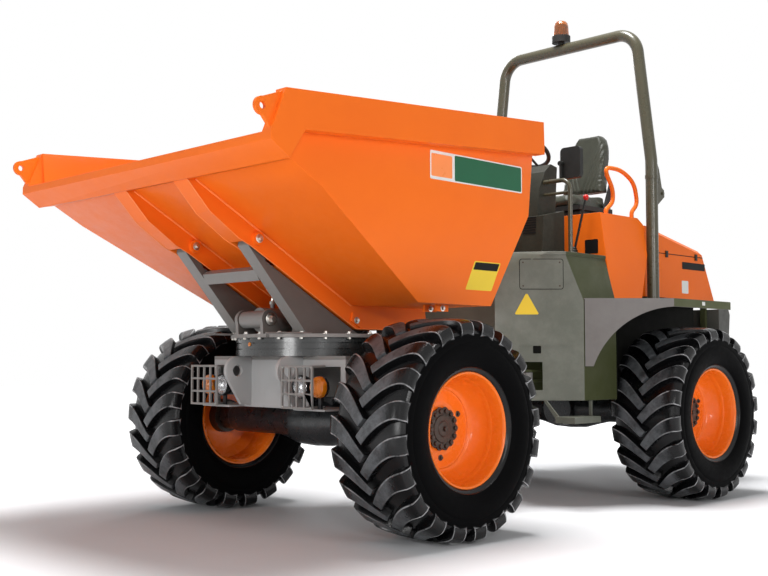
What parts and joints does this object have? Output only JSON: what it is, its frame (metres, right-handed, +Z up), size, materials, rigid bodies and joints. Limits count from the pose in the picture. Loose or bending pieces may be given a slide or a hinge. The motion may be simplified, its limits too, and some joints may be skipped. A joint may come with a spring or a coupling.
{
  "type": "site dumper",
  "caption": "Articulated site dumper with a swivelling, tipping front skip on a tower, an open operator's seat under a folding roll bar, and a rear engine under a hood.",
  "frame": {"origin": "on the ground below the middle of the machine's length and width", "axes": "+X forward towards the skip's lip, +Y to the machine's left, +Z up"},
  "size_m": [5.1298, 2.414, 3.5445],
  "materials": {
    "orange_paint": "satin orange paint",
    "grey_paint": "satin warm grey paint",
    "olive_paint": "satin grey-green paint",
    "black_iron": "speckled black-grey cast housing",
    "dark_steel": "dark oily steel",
    "rod_chrome": "ground hard-chromed rod",
    "tyre": "glossy dressed black rubber",
    "black_plastic": "matt black plastic",
    "seat_vinyl": "dark olive-black vinyl",
    "rops_paint": "satin olive-brown paint",
    "lamp_clear": "clear lamp lens",
    "amber": "amber lens"
  },
  "bodies": {
    "rear_chassis": {"rear_frame": "olive_paint", "rear_axle": "black_iron", "platform": "olive_paint", "mudguards": "olive_paint", "side_pods": "orange_paint", "seat_pedestal": "orange_paint", "engine_housing": "orange_paint", "rear_grille": "black_plastic", "counterweight": "grey_paint", "engine_block": "black_iron", "console": "black_plastic", "steering_wheel": "black_plastic", "seat_frame": "black_plastic", "seat_cushion": "seat_vinyl", "seat_back": "seat_vinyl", "handrails": "rops_paint", "mirrors": "black_plastic", "grab_loops": "orange_paint", "steps": "olive_paint", "controls": "black_plastic", "rops_legs": "rops_paint"},
    "front_chassis": {"front_frame": "grey_paint", "front_plate": "grey_paint", "front_axle": "black_iron", "slew_ring": "black_iron", "lamp_guards": "grey_paint", "headlamps": "lamp_clear", "indicators": "amber"},
    "tower": {"tower": "grey_paint"},
    "skip": {"skip_tub": "orange_paint", "skip_ribs": "orange_paint"},
    "tip_barrel": {"tip_barrel": "grey_paint"},
    "tip_rod": {"tip_rod": "rod_chrome"},
    "steer_barrel_left": {"steer_barrel_left": "grey_paint"},
    "steer_rod_left": {"steer_rod_left": "rod_chrome"},
    "steer_barrel_right": {"steer_barrel_right": "grey_paint"},
    "steer_rod_right": {"steer_rod_right": "rod_chrome"},
    "roll_bar": {"rops_hoop": "rops_paint", "beacon_base": "black_plastic", "beacon_lens": "amber"},
    "hood": {"engine_lid": "orange_paint"},
    "wheel_front_left": {"tyre_front_left": "tyre", "rim_front_left": "orange_paint", "hub_front_left": "dark_steel"},
    "wheel_front_right": {"tyre_front_right": "tyre", "rim_front_right": "orange_paint", "hub_front_right": "dark_steel"},
    "wheel_rear_left": {"tyre_rear_left": "tyre", "rim_rear_left": "orange_paint", "hub_rear_left": "dark_steel"},
    "wheel_rear_right": {"tyre_rear_right": "tyre", "rim_rear_right": "orange_paint", "hub_rear_right": "dark_steel"}
  },
  "joints": [
    {"name": "articulation", "type": "hinge", "parent": "rear_chassis", "child": "front_chassis", "pos_m": [-0.075, 0, 0.84], "axis": [0, 0, 1], "range_deg": [-30, 30]},
    {"name": "skip_swivel", "type": "hinge", "parent": "front_chassis", "child": "tower", "pos_m": [1.1815, 0, 1.07], "axis": [0, 0, 1], "range_deg": [-90, 90]},
    {"name": "skip_tip", "type": "hinge", "parent": "tower", "child": "skip", "pos_m": [1.925, 0, 1.583], "axis": [0, 1, 0], "range_deg": [0, 68]},
    {"name": "tip_cylinder_swing", "type": "hinge", "parent": "tower", "child": "tip_barrel", "pos_m": [1.66, 0, 1.172], "axis": [0, 1, 0], "range_deg": [0, 67.61]},
    {"name": "tip_cylinder_slide", "type": "slide", "parent": "tip_barrel", "child": "tip_rod", "axis": [-1, 0, 0], "range_m": [0, 0.5473]},
    {"name": "roll_bar_fold", "type": "hinge", "parent": "rear_chassis", "child": "roll_bar", "pos_m": [-1.415, 0, 2.132], "axis": [0, 1, 0], "range_deg": [-100, 0]},
    {"name": "hood_lift", "type": "hinge", "parent": "rear_chassis", "child": "hood", "pos_m": [-1.575, 0, 1.896], "axis": [0, 1, 0], "range_deg": [0, 55]},
    {"name": "steer_swing_left", "type": "hinge", "parent": "rear_chassis", "child": "steer_barrel_left", "pos_m": [-0.155, 0.5, 0.84], "axis": [0, 0, 1], "range_deg": [-26.34, 26.34]},
    {"name": "steer_slide_left", "type": "slide", "parent": "steer_barrel_left", "child": "steer_rod_left", "axis": [0.9881, -0.1535, 0], "range_m": [-0.2453, 0.2453]},
    {"name": "steer_swing_right", "type": "hinge", "parent": "rear_chassis", "child": "steer_barrel_right", "pos_m": [-0.155, -0.5, 0.84], "axis": [0, 0, 1], "range_deg": [-26.34, 26.34]},
    {"name": "steer_slide_right", "type": "slide", "parent": "steer_barrel_right", "child": "steer_rod_right", "axis": [0.9881, 0.1535, 0], "range_m": [-0.2453, 0.2453]},
    {"name": "wheel_front_left_roll", "type": "hinge", "parent": "front_chassis", "child": "wheel_front_left", "pos_m": [1.1815, 0.957, 0.584], "axis": [0, 1, 0], "continuous": true},
    {"name": "wheel_front_right_roll", "type": "hinge", "parent": "front_chassis", "child": "wheel_front_right", "pos_m": [1.1815, -0.957, 0.584], "axis": [0, 1, 0], "continuous": true},
    {"name": "wheel_rear_left_roll", "type": "hinge", "parent": "rear_chassis", "child": "wheel_rear_left", "pos_m": [-1.3315, 0.957, 0.584], "axis": [0, 1, 0], "continuous": true},
    {"name": "wheel_rear_right_roll", "type": "hinge", "parent": "rear_chassis", "child": "wheel_rear_right", "pos_m": [-1.3315, -0.957, 0.584], "axis": [0, 1, 0], "continuous": true}
  ],
  "couplings": [
    {"joint": "tip_cylinder_swing", "follows": "skip_tip", "ratio": 0.99356},
    {"joint": "tip_cylinder_slide", "follows": "skip_tip", "m_per_rad": 0.46076},
    {"joint": "steer_swing_left", "follows": "articulation", "ratio": 0.87636},
    {"joint": "steer_slide_left", "follows": "articulation", "m_per_rad": -0.46762},
    {"joint": "steer_swing_right", "follows": "articulation", "ratio": 0.87636},
    {"joint": "steer_slide_right", "follows": "articulation", "m_per_rad": 0.46762}
  ]
}
